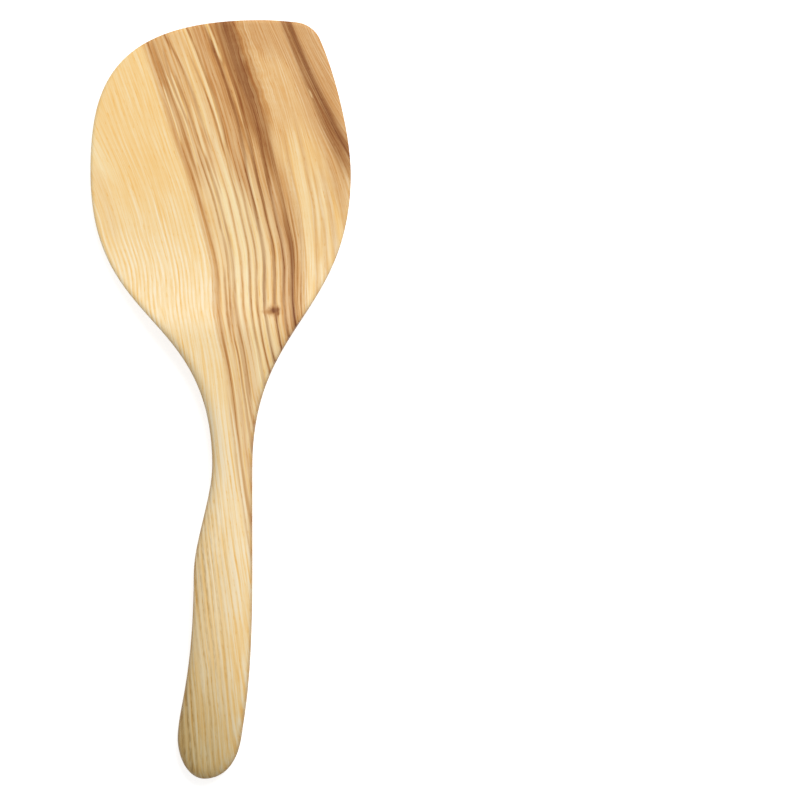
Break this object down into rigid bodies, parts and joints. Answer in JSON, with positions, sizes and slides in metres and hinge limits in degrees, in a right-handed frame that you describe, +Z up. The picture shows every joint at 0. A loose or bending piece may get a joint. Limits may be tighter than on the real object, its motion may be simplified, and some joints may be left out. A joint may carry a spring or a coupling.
{
  "type": "wooden spatula",
  "caption": "One-piece wooden spatula with a broad slanted blade, a hollow ramp up to a slim neck and a swayed palm handle, for stirring, turning and scraping food.",
  "frame": {"origin": "on the flat back, under the middle of the overall length and of the blade's width", "axes": "+Y along the tool from the handle to the blade, +Z up out of the face, +X to the side of the blade's sharper tip corner"},
  "size_m": [0.103, 0.3, 0.0148],
  "materials": {
    "ash_wood": "oiled"
  },
  "bodies": {
    "root": {"spatula": "ash_wood"}
  },
  "joints": []
}
